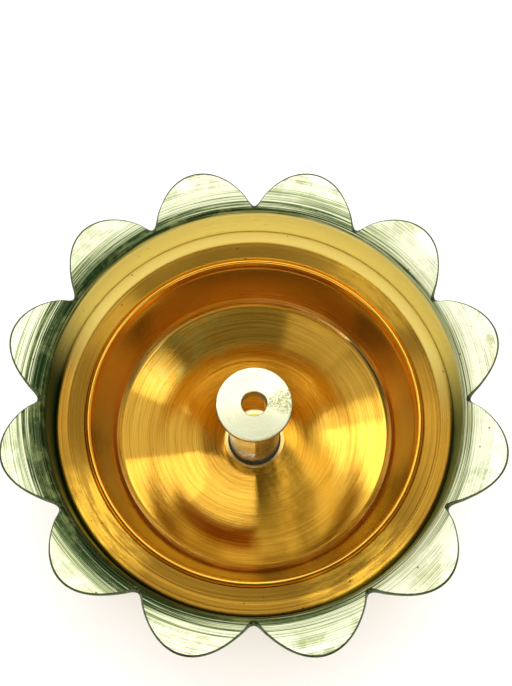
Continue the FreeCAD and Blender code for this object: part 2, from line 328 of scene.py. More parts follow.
def petal_edge(angle):
    """Radius of the flower's outline at an angle, with rounded notches."""
    local = (angle % PITCH) - PITCH / 2
    to_notch = PITCH / 2 - abs(local)
    if to_notch >= NOTCH_BLUNT:
        return lobe_radius(local)
    edge = lobe_radius(PITCH / 2 - NOTCH_BLUNT)
    t = to_notch / NOTCH_BLUNT
    return NOTCH_R + (edge - NOTCH_R) * t * t * (1.6 - 0.6 * t)


def cup_lower(angle_steps=40):
    """Inside and outside paths of the cup below the flare, from the centre hole upwards."""
    centre = (WALL_R - CUP_CORNER, PLATE_TOP + CUP_CORNER)
    inside = [(CUP_HOLE, PLATE_TOP)] + arc(centre, CUP_CORNER, -90, 0, angle_steps)
    inside += dense([(WALL_R, centre[1]), (WALL_R, FLARE_Z)], 0.4 * MM)[1:]
    outside = [(CUP_HOLE, FOOT_TOP)] + arc(centre, CUP_CORNER + CUP_WALL, -90, 0, angle_steps)
    outside += dense([(WALL_R + CUP_WALL, centre[1]), (WALL_R + CUP_WALL, FLARE_Z)],
                     0.4 * MM)[1:]
    return inside, outside


def cup_marks():
    coarse = Ripple(11, 0.9 * MM, 0.004 * MM)
    fine = Ripple(12, 0.35 * MM, 0.0012 * MM)
    return lambda s: coarse(s) + fine(s)


def build_cup(petal_face, outline_painted_shade_brass, outside_brass):
    inside, outside = cup_lower()
    mark = cup_marks()
    rise = TIP_Z - FLARE_Z - EPS
    across = TIP_R - WALL_R
    outside = marked(outside, lambda r, z, s: -mark(s))

    def section(angle):
        edge = petal_edge(angle)
        # Equal steps of the ellipse's own angle keep the steep root as smooth as the flat tip.
        end = math.acos(max(0.0, min(1.0, (TIP_R - edge) / across)))
        inner, outer = [], []
        for k in range(1, INNER_STEPS + 1):
            t = end * k / INNER_STEPS
            r = TIP_R - across * math.cos(t)
            z = FLARE_Z + rise * math.sin(t)
            slope = (across * math.sin(t), rise * math.cos(t))
            size = math.hypot(*slope)
            normal = (-slope[1] / size, slope[0] / size)
            lift = mark(across * t)
            thick = CUP_WALL + (PETAL_EDGE - CUP_WALL) * t / (math.pi / 2)
            inner.append((r + normal[0] * lift, z + normal[1] * lift - 2 * EPS))
            outer.append((r - normal[0] * thick, z - normal[1] * thick))
        tip_in, tip_out = np.array(inner[-1]), np.array(outer[-1])
        back = tip_in - np.array(inner[-2])
        back *= EDGE_SOFTNESS / max(np.linalg.norm(back), 1e-9)
        inner[-1] = tuple(tip_in - back)
        outer[-1] = tuple(tip_out - back)
        edge_in = tuple(tip_in + (tip_out - tip_in) * EDGE_FRACTION)
        edge_out = tuple(tip_out + (tip_in - tip_out) * EDGE_FRACTION)
        return inside + inner + [edge_in, edge_out] + outer[::-1] + outside[::-1]

    angles = cup_angles()
    verts, faces = sweep(section, angles)
    face, edge, back = 0, 1, 2
    # The last steps of the petal face and the cut edge take the dark edge material: a painted dark
    # outline standing for shade.
    zone_of = [face] * (len(inside) + INNER_STEPS - 3) + [edge] * 5
    zone_of += [back] * (len(section(0)) - len(zone_of))
    return make_object("lotus_cup_turned", verts, faces, body="cup", nodes=["lotus_cup"],
                       slot="petal_brass", materials=[petal_face, outline_painted_shade_brass, outside_brass],
                       zones=zone_of * len(angles))


def cup_angles(per_petal=60):
    """Angles about Z, closer together in the notches."""
    local = []
    for k in range(per_petal):
        t = k / per_petal
        local.append(PITCH * (t - 0.62 * math.sin(TURN * t) / TURN))
    return [PITCH * petal + a for petal in range(PETALS) for a in local]


# ---------------------------------------------------------------- wick holder

TUBE_BORE = 4.8 * MM               # radius
WICK_HOLE = 2.6 * MM               # radius
LEDGE_Z = TUBE_FOOT + 4.6 * MM
WINDOW_TOP = LEDGE_Z + 17.9 * MM
WINDOW_FROM = 62.0                 # degrees about Z
WINDOW_TO = 272.0
SPIGOT_R = 3.1 * MM
THREAD_TOP = SPIGOT_Z + 4.5 * MM


def build_cap(face_brass, painted_shade_brass):
    """A slightly conical disc with a spigot; its edge and hole take the darker brass, which is painted
    shade.
    """
    rim_z = CAP_TOP - 0.3 * MM
    base_z = CAP_TOP - 1.6 * MM
    hole = [(WICK_HOLE, CAP_SPIGOT_Z), (WICK_HOLE, CAP_TOP - 0.2 * MM)]
    top = rounded([(WICK_HOLE, CAP_TOP - 0.18 * MM, 0), (WICK_HOLE + 0.16 * MM, CAP_TOP, 0.08 * MM),
                   (CAP_R - 0.2 * MM, rim_z, 0)])
    coarse = Ripple(21, 0.5 * MM, 0.0012 * MM)
    top = marked(dense(top, 0.12 * MM), lambda r, z, s: coarse(r))
    side = rounded([(CAP_R - 0.12 * MM, rim_z - 0.03 * MM, 0), (CAP_R, rim_z - 0.2 * MM, 0.05 * MM),
                    (CAP_R, base_z + 0.2 * MM, 0)])
    under = [(CAP_R - 0.2 * MM, base_z), (TUBE_BORE - EPS, base_z), (TUBE_BORE - EPS, CAP_SPIGOT_Z)]
    face, edge = 0, 1
    return turned_piece("wick_cap_turned", [(hole, edge), (top, face), (side, edge), (under, face)],
                        SMALL_SEGMENTS * 2, body="wick_holder", nodes=["wick_cap"],
                        slot="cap_brass", materials=[face_brass, painted_shade_brass])


def tube_angles():
    """Angles of a full turn that hit both sides of the window."""
    window = np.linspace(WINDOW_FROM, WINDOW_TO, 70)
    wall = np.linspace(WINDOW_TO, WINDOW_FROM + 360, 52)[1:-1]
    return [math.radians(a) for a in (*window, *wall)], len(window) - 1


def build_tube(outside_brass, inside_brass):
    """The wall as outer and inner patches that leave the window out, then the foot and spigot."""
    angles, window_cells = tube_angles()
    count = len(angles)
    heights = [TUBE_FOOT, LEDGE_Z, *np.linspace(LEDGE_Z, WINDOW_TOP, 14)[1:], TUBE_TOP]
    verts, faces, zones = [], [], []
    outside, inside = 0, 1

    def ring(r, z):
        first = len(verts)
        verts.extend((r * math.cos(a), r * math.sin(a), z) for a in angles)
        return first

    def band(low, high, cells, zone=outside):
        for i in cells:
            j = (i + 1) % count
            faces.append((low + i, low + j, high + j, high + i))
            zones.append(zone)

    everywhere = range(count)
    beside = range(window_cells, count)
    opening = range(window_cells)
    outer = [ring(TUBE_R, z) for z in heights]
    inner = [ring(TUBE_BORE, z) for z in heights[1:]]
    for k in range(len(heights) - 1):
        in_window = LEDGE_Z <= heights[k] < WINDOW_TOP - EPS
        cells = beside if in_window else everywhere
        band(outer[k], outer[k + 1], cells)
        if k:
            band(inner[k - 1], inner[k], cells, inside)
            if in_window:
                for side in (0, window_cells):
                    faces.append((outer[k] + side, outer[k + 1] + side,
                                  inner[k] + side, inner[k - 1] + side))
                    zones.append(inside)
    sill, head = 1, len(heights) - 2
    band(outer[sill], inner[sill - 1], opening)
    band(outer[head], inner[head - 1], opening)
    band(outer[-1], inner[-1], everywhere)
    faces.append(tuple(inner[0] + i for i in everywhere))
    zones.append(inside)
    path = [ring(SPIGOT_R, TUBE_FOOT), ring(SPIGOT_R, SPIGOT_Z), ring(STUD_R, SPIGOT_Z),
            ring(STUD_R, THREAD_TOP)]
    band(outer[0], path[0], everywhere)
    for low, high in zip(path, path[1:]):
        band(low, high, everywhere)
    faces.append(tuple(path[-1] + i for i in everywhere))
    zones.append(outside)
    piece = make_object("wick_tube_turned", verts, faces, body="wick_holder",
                        nodes=["wick_tube"], slot="tube_brass",
                        materials=[outside_brass, inside_brass], zones=zones)
    soften(piece, 0.1 * MM)
    return piece


def soften(piece, width, angle_deg=45):
    """Rounds the sharp edges of a small piece."""
    work = bmesh.new()
    work.from_mesh(piece.data)
    sharp = [e for e in work.edges
             if len(e.link_faces) == 2 and e.calc_face_angle() > math.radians(angle_deg)]
    bmesh.ops.bevel(work, geom=sharp, offset=width, segments=2, profile=0.5, affect="EDGES",
                    clamp_overlap=True)
    work.to_mesh(piece.data)
    work.free()
    piece.data.shade_smooth()
    piece.data.set_sharp_from_angle(angle=math.radians(50))


def build_seal(material):
    section = rounded([(BOWL_HOLE, FLOOR_Z + EPS, 0), (SEAL_R, FLOOR_Z + EPS, 0.2 * MM),
                       (SEAL_R, TUBE_FOOT - EPS, 0.2 * MM), (BOWL_HOLE, TUBE_FOOT - EPS, 0)])
    return turned_piece("seal_washer_moulded", [(section, 0)], SMALL_SEGMENTS, body="seal",
                        nodes=["seal_washer"], slot="seal_rubber", materials=[material])


# ---------------------------------------------------------------- foot, stud and fasteners

FOOT_OPENING_R = 22.5 * MM         # the ring that stands on the table begins here
FOOT_PLATE_R = 16.5 * MM
COLLAR_POCKET_R = 3.3 * MM
COLLAR_POCKET = 3.0 * MM           # its depth, a little more than the collar's height
COLLAR_HEIGHT = 2.8 * MM
NUT_POCKET_R = 7.2 * MM
STUD_HOLE_R = STUD_R + 0.1 * MM


def build_foot(material):
    shoulder = FOOT_R - 2.5 * MM
    ceiling = WASHER_TOP
    waist, waist_z, bead = 10.5 * MM, 11.5 * MM, 1.0 * MM
    cove_points = curve3((shoulder, 4.2 * MM), (14.4 * MM, 7.2 * MM), (waist, waist_z - bead))
    bead_points = arc((waist, waist_z), bead, -90, 90, 12)
    flare_points = curve3((waist, waist_z + bead), (12.2 * MM, 13.4 * MM),
                          (FOOT_PLATE_R, FOOT_TOP - 1.4 * MM))
    base = rounded([(FOOT_OPENING_R, 0, 0), (FOOT_R - 0.3 * MM, 0, 0.3 * MM),
                    (FOOT_R, 0.8 * MM, 0.5 * MM), (FOOT_R, 3.0 * MM, 0.6 * MM),
                    (FOOT_R - 0.6 * MM, 3.4 * MM, 0.3 * MM), (shoulder, 3.4 * MM, 0.12 * MM),
                    (shoulder, 4.2 * MM, 0)])
    pocket_z = FOOT_TOP - COLLAR_POCKET
    top = rounded([(FOOT_PLATE_R, FOOT_TOP - 1.4 * MM, 0), (FOOT_PLATE_R, FOOT_TOP, 0.3 * MM),
                   (COLLAR_POCKET_R, FOOT_TOP, 0), (COLLAR_POCKET_R, pocket_z, 0),
                   (STUD_HOLE_R, pocket_z, 0), (STUD_HOLE_R, ceiling, 0),
                   (NUT_POCKET_R, ceiling, 0.3 * MM), (NUT_POCKET_R, 6.5 * MM, 0.4 * MM),
                   (FOOT_OPENING_R, 1.6 * MM, 0.4 * MM), (FOOT_OPENING_R, 0, 0)])
    mark = Ripple(31, 0.6 * MM, 0.0012 * MM)
    outside = dense(base + cove_points[1:] + bead_points[1:] + flare_points[1:], 0.25 * MM)
    outside = marked(outside, lambda r, z, s: -abs(mark(s)))
    outside = [(r, max(z, FOOT_Z)) for r, z in outside]
    return turned_piece("foot_turned", [(outside + top[1:-1], 0)], SEGMENTS // 2, body="base",
                        nodes=["foot"], slot="foot_brass", materials=[material])


def curve3(start, middle, end, steps=24):
    """The arc through three points of the (radius, z) plane."""
    (ax, ay), (bx, by), (cx, cy) = start, middle, end
    d = 2 * (ax * (by - cy) + bx * (cy - ay) + cx * (ay - by))
    a2, b2, c2 = ax * ax + ay * ay, bx * bx + by * by, cx * cx + cy * cy
    ux = (a2 * (by - cy) + b2 * (cy - ay) + c2 * (ay - by)) / d
    uy = (a2 * (cx - bx) + b2 * (ax - cx) + c2 * (bx - ax)) / d
    size = math.hypot(ax - ux, ay - uy)
    first, mid, last = (math.atan2(y - uy, x - ux) for x, y in (start, middle, end))

    def near(angle, other):
        return angle + TURN * round((other - angle) / TURN)

    mid = near(mid, first)
    last = near(last, mid)
    return [(ux + size * math.cos(a), uy + size * math.sin(a))
            for a in np.linspace(first, last, steps + 1)]


THREAD_PITCH = 0.7 * MM
THREAD_DEPTH = 0.34 * MM


def thread_radius(angle, z, outer):
    """Radius of a right-hand thread: a flattened triangle wave that climbs with the angle."""
    place = (z / THREAD_PITCH - angle / TURN) % 1.0
    wave = abs(2 * place - 1)
    return outer - THREAD_DEPTH * min(1.0, max(0.0, 1.25 * wave - 0.1))


def build_stud(material):
    collar_low = FOOT_TOP - COLLAR_POCKET
    collar_high = collar_low + COLLAR_HEIGHT
    lower = np.arange(STUD_Z + 0.3 * MM, collar_low - 0.3 * MM, THREAD_PITCH / 8)
    upper = np.arange(collar_high + 0.4 * MM, STUD_TOP - 0.3 * MM, THREAD_PITCH / 8)
    axis_r = 0.02 * MM

    def section(angle):
        path = [(axis_r, STUD_Z), (STUD_R - 0.35 * MM, STUD_Z)]
        path += [(thread_radius(angle, z, STUD_R), z) for z in lower]
        path += [(STUD_R - 0.3 * MM, collar_low), (STUD_COLLAR_R - 0.2 * MM, collar_low),
                 (STUD_COLLAR_R, collar_low + 0.2 * MM), (STUD_COLLAR_R, collar_high - 0.2 * MM),
                 (STUD_COLLAR_R - 0.2 * MM, collar_high), (STUD_R - 0.3 * MM, collar_high)]
        path += [(thread_radius(angle, z, STUD_R), z) for z in upper]
        path += [(STUD_R - 0.35 * MM, STUD_TOP), (axis_r, STUD_TOP)]
        return path

    verts, faces = sweep(section, full_turn(64))
    return make_object("centre_stud_threaded", verts, faces, body="base",
                       nodes=["centre_stud"], slot="stud_brass", materials=[material])


def build_nut(material):
    """A hexagon whose corners are turned off by a cone at both ends."""
    flats = NUT_CORNER_R * math.cos(math.pi / 6)
    chamfer_r = flats * 0.97
    chamfer_slope = 0.58       # about 30 degrees

    def section(angle):
        local = (angle + math.pi / 6) % (math.pi / 3) - math.pi / 6
        side = flats / math.cos(abs(abs(local) - math.pi / 6))
        drop = max(0.0, side - chamfer_r) * chamfer_slope
        return [(STUD_R, NUT_Z + 0.3 * MM), (STUD_R + 0.3 * MM, NUT_Z), (chamfer_r, NUT_Z),
                (side - 0.03 * MM, NUT_Z + drop), (side, NUT_Z + drop + 0.06 * MM),
                (side, NUT_TOP - drop - 0.06 * MM), (side - 0.03 * MM, NUT_TOP - drop),
                (chamfer_r, NUT_TOP), (STUD_R + 0.3 * MM, NUT_TOP),
                (STUD_R, NUT_TOP - 0.3 * MM)]

    verts, faces = sweep(section, full_turn(144))
    return make_object("stud_nut_hexagon", verts, faces, body="base", nodes=["stud_nut"],
                       slot="fastener_steel", materials=[material], crease_deg=25)


def build_washers(material):
    flat = rounded([(STUD_HOLE_R, WASHER_Z, 0), (WASHER_R, WASHER_Z, 0.15 * MM),
                    (WASHER_R, WASHER_TOP, 0.15 * MM), (STUD_HOLE_R, WASHER_TOP, 0)])
    turned_piece("flat_washer_punched", [(flat, 0)], SMALL_SEGMENTS, body="base",
                 nodes=["flat_washer"], slot="fastener_steel", materials=[material])
    split = rounded([(STUD_HOLE_R, SPRING_Z, 0), (SPRING_R, SPRING_Z, 0.12 * MM),
                     (SPRING_R, SPRING_TOP, 0.12 * MM), (STUD_HOLE_R, SPRING_TOP, 0)])
    half_gap = 0.11        # radians
    angles = list(np.linspace(half_gap, TURN - half_gap, SMALL_SEGMENTS))
    verts, faces = sweep(lambda angle: split, angles, closed_turn=False)
    make_object("spring_washer_split", verts, faces, body="base", nodes=["spring_washer"],
                slot="fastener_steel", materials=[material])


# ---------------------------------------------------------------- materials

class Nodes:
    """Short calls for building one material's nodes."""

    def __init__(self, name):
        self.material = bpy.data.materials.new(name)
        self.material.use_nodes = True
        self.tree = self.material.node_tree
        self.shader = self.tree.nodes["Principled BSDF"]

    def add(self, kind, **settings):
        node = self.tree.nodes.new(kind)
        for key, value in settings.items():
            setattr(node, key, value)
        return node

    def feed(self, socket, value):
        if isinstance(value, bpy.types.NodeSocket):
            self.tree.links.new(value, socket)
        else:
            socket.default_value = value

    def math(self, operation, a, b=0.0, c=0.0, clamp=False):
        node = self.add("ShaderNodeMath", operation=operation, use_clamp=clamp)
        for socket, value in zip(node.inputs, (a, b, c)):
            self.feed(socket, value)
        return node.outputs[0]

    def blend(self, factor, a, b):
        node = self.add("ShaderNodeMix", data_type="RGBA")
        self.feed(node.inputs["Factor"], factor)
        self.feed(node.inputs[6], a)
        self.feed(node.inputs[7], b)
        return node.outputs[2]

    def ramp(self, factor, stops):
        node = self.add("ShaderNodeValToRGB")
        self.feed(node.inputs[0], factor)
        ramp = node.color_ramp
        while len(ramp.elements) < len(stops):
            ramp.elements.new(0.5)
        for element, (place, colour) in zip(ramp.elements, stops):
            element.position = place
            element.color = colour
        return node.outputs[0]

    def noise(self, vector, scale, detail=3.0, roughness=0.5):
        node = self.add("ShaderNodeTexNoise", noise_dimensions="3D")
        self.feed(node.inputs["Vector"], vector)
        node.inputs["Scale"].default_value = scale
        node.inputs["Detail"].default_value = detail
        node.inputs["Roughness"].default_value = roughness
        return node.outputs[0]

    def place(self):
        """Object coordinates, then the radius and height in millimetres, then x and y."""
        coords = self.add("ShaderNodeTexCoord").outputs["Object"]
        split = self.add("ShaderNodeSeparateXYZ")
        self.feed(split.inputs[0], coords)
        x, y, z = split.outputs
        xx = self.math("MULTIPLY", x, x)
        radius = self.math("SQRT", self.math("MULTIPLY_ADD", y, y, xx))
        return coords, self.math("MULTIPLY", radius, 1000.0), self.math("MULTIPLY", z, 1000.0), x, y

    def streaks(self, along, x, y, radius, lines_per_mm, around):
        """Noise that is fine along the profile and long around the axis, as turning marks are."""
        safe = self.math("MAXIMUM", radius, 0.5)
        cos = self.math("DIVIDE", self.math("MULTIPLY", x, 1000.0 * around), safe)
        sin = self.math("DIVIDE", self.math("MULTIPLY", y, 1000.0 * around), safe)
        vector = self.add("ShaderNodeCombineXYZ")
        self.feed(vector.inputs[0], self.math("MULTIPLY", along, lines_per_mm))
        self.feed(vector.inputs[1], cos)
        self.feed(vector.inputs[2], sin)
        return self.noise(vector.outputs[0], 1.0, 4.0, 0.62)


def grey(value):
    return (value, value, value, 1.0)


def turned_brass(name, bright, dark, roughness, anisotropy=0.35, relief=0.12, tarnish=0.3,
                 extra=None):
    """Turned brass: marks in colour, gloss and relief that run round the axis, and tarnish.

    extra(nodes, place, colour) returns the colour to use; place is a dict of sockets, and extra may
    set its "dull" to a socket that makes the surface rougher where it is 1.
    """
    n = Nodes(name)
    coords, radius, height, x, y = n.place()
    along = n.math("ADD", radius, height)
    fine = n.streaks(along, x, y, radius, 4.2, 1.4)
    broad = n.streaks(along, x, y, radius, 0.9, 0.8)
    cloud = n.noise(coords, 55.0, 5.0, 0.6)
    scored = n.streaks(along, x, y, radius, 9.0, 3.0)
    marks = n.math("MULTIPLY_ADD", fine, 0.5, n.math("MULTIPLY", broad, 0.25))
    marks = n.math("MULTIPLY_ADD", scored, 0.25, marks)
    colour = n.blend(n.ramp(marks, [(0.40, grey(0)), (0.56, grey(1))]), dark, bright)
    colour = n.blend(n.ramp(cloud, [(0.45, grey(0)), (0.75, grey(tarnish))]), colour, dark)
    n.shader.inputs["Metallic"].default_value = 1.0
    place = dict(coords=coords, radius=radius, height=height, along=along, x=x, y=y, fine=fine,
                 broad=broad, dull=None)
    if extra:
        colour = extra(n, place, colour)
    n.feed(n.shader.inputs["Base Color"], colour)
    rough = n.math("MULTIPLY_ADD", marks, 0.6 * roughness, 0.4 * roughness)
    rough = n.math("MULTIPLY_ADD", cloud, 0.5 * roughness, rough, clamp=True)
    if place["dull"] is not None:
        rough = n.math("MULTIPLY_ADD", place["dull"], 0.35, rough, clamp=True)
    n.feed(n.shader.inputs["Roughness"], rough)
    n.shader.inputs["Anisotropic"].default_value = anisotropy
    n.shader.inputs["Anisotropic Rotation"].default_value = 0.25
    tangent = n.add("ShaderNodeTangent", direction_type="RADIAL", axis="Z")
    n.feed(n.shader.inputs["Tangent"], tangent.outputs[0])
    bump = n.add("ShaderNodeBump")
    bump.inputs["Strength"].default_value = relief
    bump.inputs["Distance"].default_value = 0.02 * MM
    n.feed(bump.inputs["Height"], marks)
    n.feed(n.shader.inputs["Normal"], bump.outputs[0])
    return n


def side_of(n, place, east, north):
    """How far a point lies towards a compass side of the lamp, from -1 to 1."""
    across = n.math("MULTIPLY", place["x"], 1000.0 * east)
    both = n.math("MULTIPLY_ADD", place["y"], 1000.0 * north, across)
    return n.math("DIVIDE", both, n.math("MAXIMUM", place["radius"], 0.5))


def smooth(n, value, low, high):
    """0 below low, 1 above high, and a soft step between them."""
    node = n.add("ShaderNodeMapRange", interpolation_type="SMOOTHSTEP")
    n.feed(node.inputs["Value"], value)
    node.inputs["From Min"].default_value = low
    node.inputs["From Max"].default_value = high
    return node.outputs[0]


def petal_colours(n, place, colour):
    """Green patina and painted shade at the petals' roots, reaching further out on the left, worn to
    pale brass outwards with a painted highlight; the wall below is painted shade, lighter on the
    right, with a painted bright reflection on the far side.
    """
    # Painted shade: the dark root zone is pushed further out on the left side and pulled back on the
    # right.
    left = smooth(n, side_of(n, place, -1.0, -0.25), 0.2, 0.9)
    fine, broad = place["fine"], place["broad"]
    jitter = n.math("MULTIPLY_ADD", fine, 13.0, n.math("MULTIPLY_ADD", broad, 5.0, -6.7))
    reach = n.math("ADD", place["radius"], n.math("MULTIPLY_ADD", left, -2.3, jitter))
    right = smooth(n, side_of(n, place, 1.0, 0.0), 0.3, 0.9)
    reach = n.math("MULTIPLY_ADD", right, 1.3, reach)
    # Green patina with painted shade: near-black green at the steep roots, and a painted highlight
    # that whitens the outer part.
    patina = n.ramp(n.math("DIVIDE", n.math("SUBTRACT", reach, 43.0), 9.0),
                    [(0.0, (0.004, 0.013, 0.003, 1)), (0.24, (0.012, 0.034, 0.008, 1)),
                     (0.31, (0.09, 0.14, 0.045, 1)), (0.38, (0.50, 0.54, 0.30, 1)),
                     (0.5, (0.79, 0.81, 0.57, 1)), (1.0, (0.87, 0.88, 0.66, 1))])
    scratch = n.ramp(fine, [(0.40, grey(1)), (0.47, grey(0))])
    patina = n.blend(n.math("MULTIPLY", scratch, 0.4), patina, (0.26, 0.34, 0.14, 1))
    smudge = n.ramp(n.noise(place["coords"], 150.0, 5.0, 0.7), [(0.50, grey(0)), (0.60, grey(1))])
    smudge = n.math("MULTIPLY", smudge, n.ramp(fine, [(0.42, grey(1)), (0.56, grey(0))]))
    patina = n.blend(n.math("MULTIPLY", smudge, 0.75), patina, (0.27, 0.31, 0.11, 1))
    rubbed = n.ramp(n.noise(place["coords"], 85.0, 6.0, 0.75), [(0.49, grey(0)), (0.58, grey(1))])
    rubbed = n.math("MULTIPLY", rubbed, smooth(n, place["radius"], 44.5, 47.5))
    rubbed = n.math("MULTIPLY", rubbed, n.ramp(fine, [(0.44, grey(1)), (0.60, grey(0.15))]))
    patina = n.blend(n.math("MULTIPLY", rubbed, 0.7), patina, (0.30, 0.34, 0.12, 1))
    top = 1000 * FLARE_Z
    # Below the flare the wall is near-black green patina and painted shade, painted lighter on the
    # right side and painted as bright brass on the far side, both painted light.
    far_painted_light = smooth(n, side_of(n, place, 0.12, 1.0), 0.0, 0.5)
    lit = smooth(n, side_of(n, place, 1.0, 0.0), -0.3, 0.7)
    green = n.blend(lit, (0.012, 0.036, 0.009, 1), (0.12, 0.17, 0.045, 1))
    wall = n.blend(far_painted_light, green, (0.96, 0.80, 0.21, 1))
    rise = n.math("MULTIPLY_ADD", fine, 5.0, n.math("ADD", place["height"], -2.5))
    above = smooth(n, rise, top + 0.6, top + 1.6)
    return pit_colours(n, place, n.blend(above, wall, patina))


def pit_colours(n, place, colour):
    """Small dark casting pits."""
    cells = n.add("ShaderNodeTexVoronoi", feature="F1")
    n.feed(cells.inputs["Vector"], place["coords"])
    cells.inputs["Scale"].default_value = 520.0
    near = n.math("LESS_THAN", cells.outputs["Distance"], 0.12)
    pick = n.add("ShaderNodeSeparateColor")
    n.feed(pick.inputs[0], cells.outputs["Color"])
    chosen = n.math("GREATER_THAN", pick.outputs[0], 0.86)
    pit = n.math("MULTIPLY", near, chosen)
    return n.blend(n.math("MULTIPLY", pit, 0.7), colour, (0.10, 0.05, 0.01, 1))


def wall_colours(n, place, colour):
    """A duller wall above the crease, and a mottled olive patch far left on the floor."""
    wall = n.ramp(n.math("DIVIDE", place["radius"], 40.0),
                  [(0.75, grey(0)), (0.82, grey(1)), (0.855, grey(1)), (0.862, grey(0))])
    colour = n.blend(wall, colour, (0.66, 0.60, 0.44, 1))
    far_left = smooth(n, side_of(n, place, -0.62, 0.78), 0.80, 1.0)
    ring = n.ramp(n.math("DIVIDE", place["radius"], 40.0),
                  [(0.42, grey(0)), (0.55, grey(1)), (0.78, grey(1)), (0.86, grey(0))])
    patches = n.ramp(n.noise(place["coords"], 240.0, 6.0, 0.75), [(0.46, grey(0)), (0.57, grey(1))])
    mottled = n.math("MULTIPLY", n.math("MULTIPLY", far_left, ring), patches)
    return n.blend(n.math("MULTIPLY", mottled, 0.7), colour, (0.74, 0.58, 0.13, 1))


def flange_colours(n, place, colour):
    """Painted light brightening the far side, three painted highlight fans, pits, and a matt outer
    zone on the far side, painted paler as painted light.
    """
    # Painted light: the far side is painted a brighter brass.
    colour = n.blend(smooth(n, side_of(n, place, 0.0, 1.0), 0.2, 0.9), colour,
                     (0.66, 0.37, 0.045, 1))
    grain = n.streaks(place["along"], place["x"], place["y"], place["radius"], 0.5, 5.0)
    grain = n.ramp(grain, [(0.40, grey(0.2)), (0.58, grey(1))])
    # Three painted highlight fans: brighter gold sectors at these azimuths.
    for azimuth in (217, 303, 47):
        way = math.radians(azimuth)
        painted_highlight_sector = smooth(n, side_of(n, place, math.cos(way), math.sin(way)), 0.93, 0.99)
        colour = n.blend(n.math("MULTIPLY", painted_highlight_sector, grain), colour, (0.98, 0.56, 0.06, 1))
    # The far outer zone is rougher and less metallic, and painted paler as painted light.
    far = smooth(n, side_of(n, place, 0.12, 1.0), 0.0, 0.5)
    outer = n.math("MULTIPLY", far, smooth(n, place["radius"], 38.9, 39.5))
    place["dull"] = outer
    n.feed(n.shader.inputs["Metallic"], n.math("MULTIPLY_ADD", outer, -0.8, 1.0))
    colour = n.blend(outer, colour, (0.66, 0.52, 0.13, 1))
    return pit_colours(n, place, colour)


def cap_colours(n, place, colour):
    """A dull speckled wedge on one side: a painted dark reflection, the dark fan of the turned disc.
    """
    painted_dark_wedge = smooth(n, side_of(n, place, 1.0, 0.1), 0.86, 1.0)
    speck = n.ramp(n.noise(place["coords"], 2600.0, 3.0, 0.7), [(0.42, grey(0)), (0.6, grey(1))])
    return n.blend(n.math("MULTIPLY", painted_dark_wedge, speck), colour, (0.34, 0.31, 0.10, 1))


def tube_colours(n, place, colour):
    """File marks: bright speckles over the side away from the window."""
    speck = n.ramp(n.noise(place["coords"], 1900.0, 4.0, 0.7), [(0.40, grey(0)), (0.58, grey(1))])
    filed = smooth(n, side_of(n, place, 0.6, -0.8), 0.3, 0.7)
    pale = n.blend(speck, (0.38, 0.30, 0.12, 1), (0.97, 0.95, 0.80, 1))
    return n.blend(filed, colour, pale)


def rubber(name):
    n = Nodes(name)
    coords = n.add("ShaderNodeTexCoord").outputs["Object"]
    speckle = n.noise(coords, 2200.0, 3.0)
    n.feed(n.shader.inputs["Base Color"], n.ramp(speckle, [(0.3, (0.012, 0.010, 0.008, 1)),
                                                           (0.8, (0.045, 0.038, 0.03, 1))]))
    n.feed(n.shader.inputs["Roughness"], n.math("MULTIPLY_ADD", speckle, 0.25, 0.5))
    return n.material


def steel(name):
    n = Nodes(name)
    coords = n.add("ShaderNodeTexCoord").outputs["Object"]
    grain = n.noise(coords, 900.0, 5.0, 0.65)
    n.feed(n.shader.inputs["Base Color"], n.ramp(grain, [(0.3, (0.42, 0.41, 0.38, 1)),
                                                         (0.7, (0.68, 0.67, 0.63, 1))]))
    n.shader.inputs["Metallic"].default_value = 1.0
    n.feed(n.shader.inputs["Roughness"], n.math("MULTIPLY_ADD", grain, 0.3, 0.2))
    return n.material


# ---------------------------------------------------------------- stage

def build_floor():
    mesh = bpy.data.meshes.new("floor")
    half = 3.0
    mesh.from_pydata([(-half, -half, 0), (half, -half, 0), (half, half, 0), (-half, half, 0)],
                     [], [(0, 1, 2, 3)])
    floor = bpy.data.objects.new("floor", mesh)
    bpy.context.scene.collection.objects.link(floor)
    n = Nodes("floor_paper")
    coords = n.add("ShaderNodeTexCoord").outputs["Object"]
    grain = n.noise(coords, 40.0, 2.0)
    n.feed(n.shader.inputs["Base Color"], n.ramp(grain, [(0.0, grey(0.88)), (1.0, grey(0.92))]))
    n.shader.inputs["Roughness"].default_value = 0.9
    mesh.materials.append(n.material)


LIGHT_DISTANCE = 0.8


def card(name, azimuth, zenith, width, height, radiance, glossy=True):
    """An oval softbox seen from the lamp in a direction, with its width and height as angles.

    Azimuth is measured from +X towards +Y and zenith from straight up; all angles are in degrees.
    """
    light = bpy.data.lights.new(name, "AREA")
    light.shape = "ELLIPSE"
    light.size = 2 * LIGHT_DISTANCE * math.tan(math.radians(width / 2))
    light.size_y = 2 * LIGHT_DISTANCE * math.tan(math.radians(height / 2))
    light.energy = radiance * math.pi * math.pi / 4 * light.size * light.size_y
    az, ze = math.radians(azimuth), math.radians(zenith)
    way = Vector((math.sin(ze) * math.cos(az), math.sin(ze) * math.sin(az), math.cos(ze)))
    lamp = bpy.data.objects.new(name, light)
    bpy.context.scene.collection.objects.link(lamp)
    lamp.location = Vector((0, 0, LIP_Z)) + way * LIGHT_DISTANCE
    lamp.rotation_euler = way.to_track_quat("Z", "Y").to_euler()
    lamp.visible_glossy = glossy


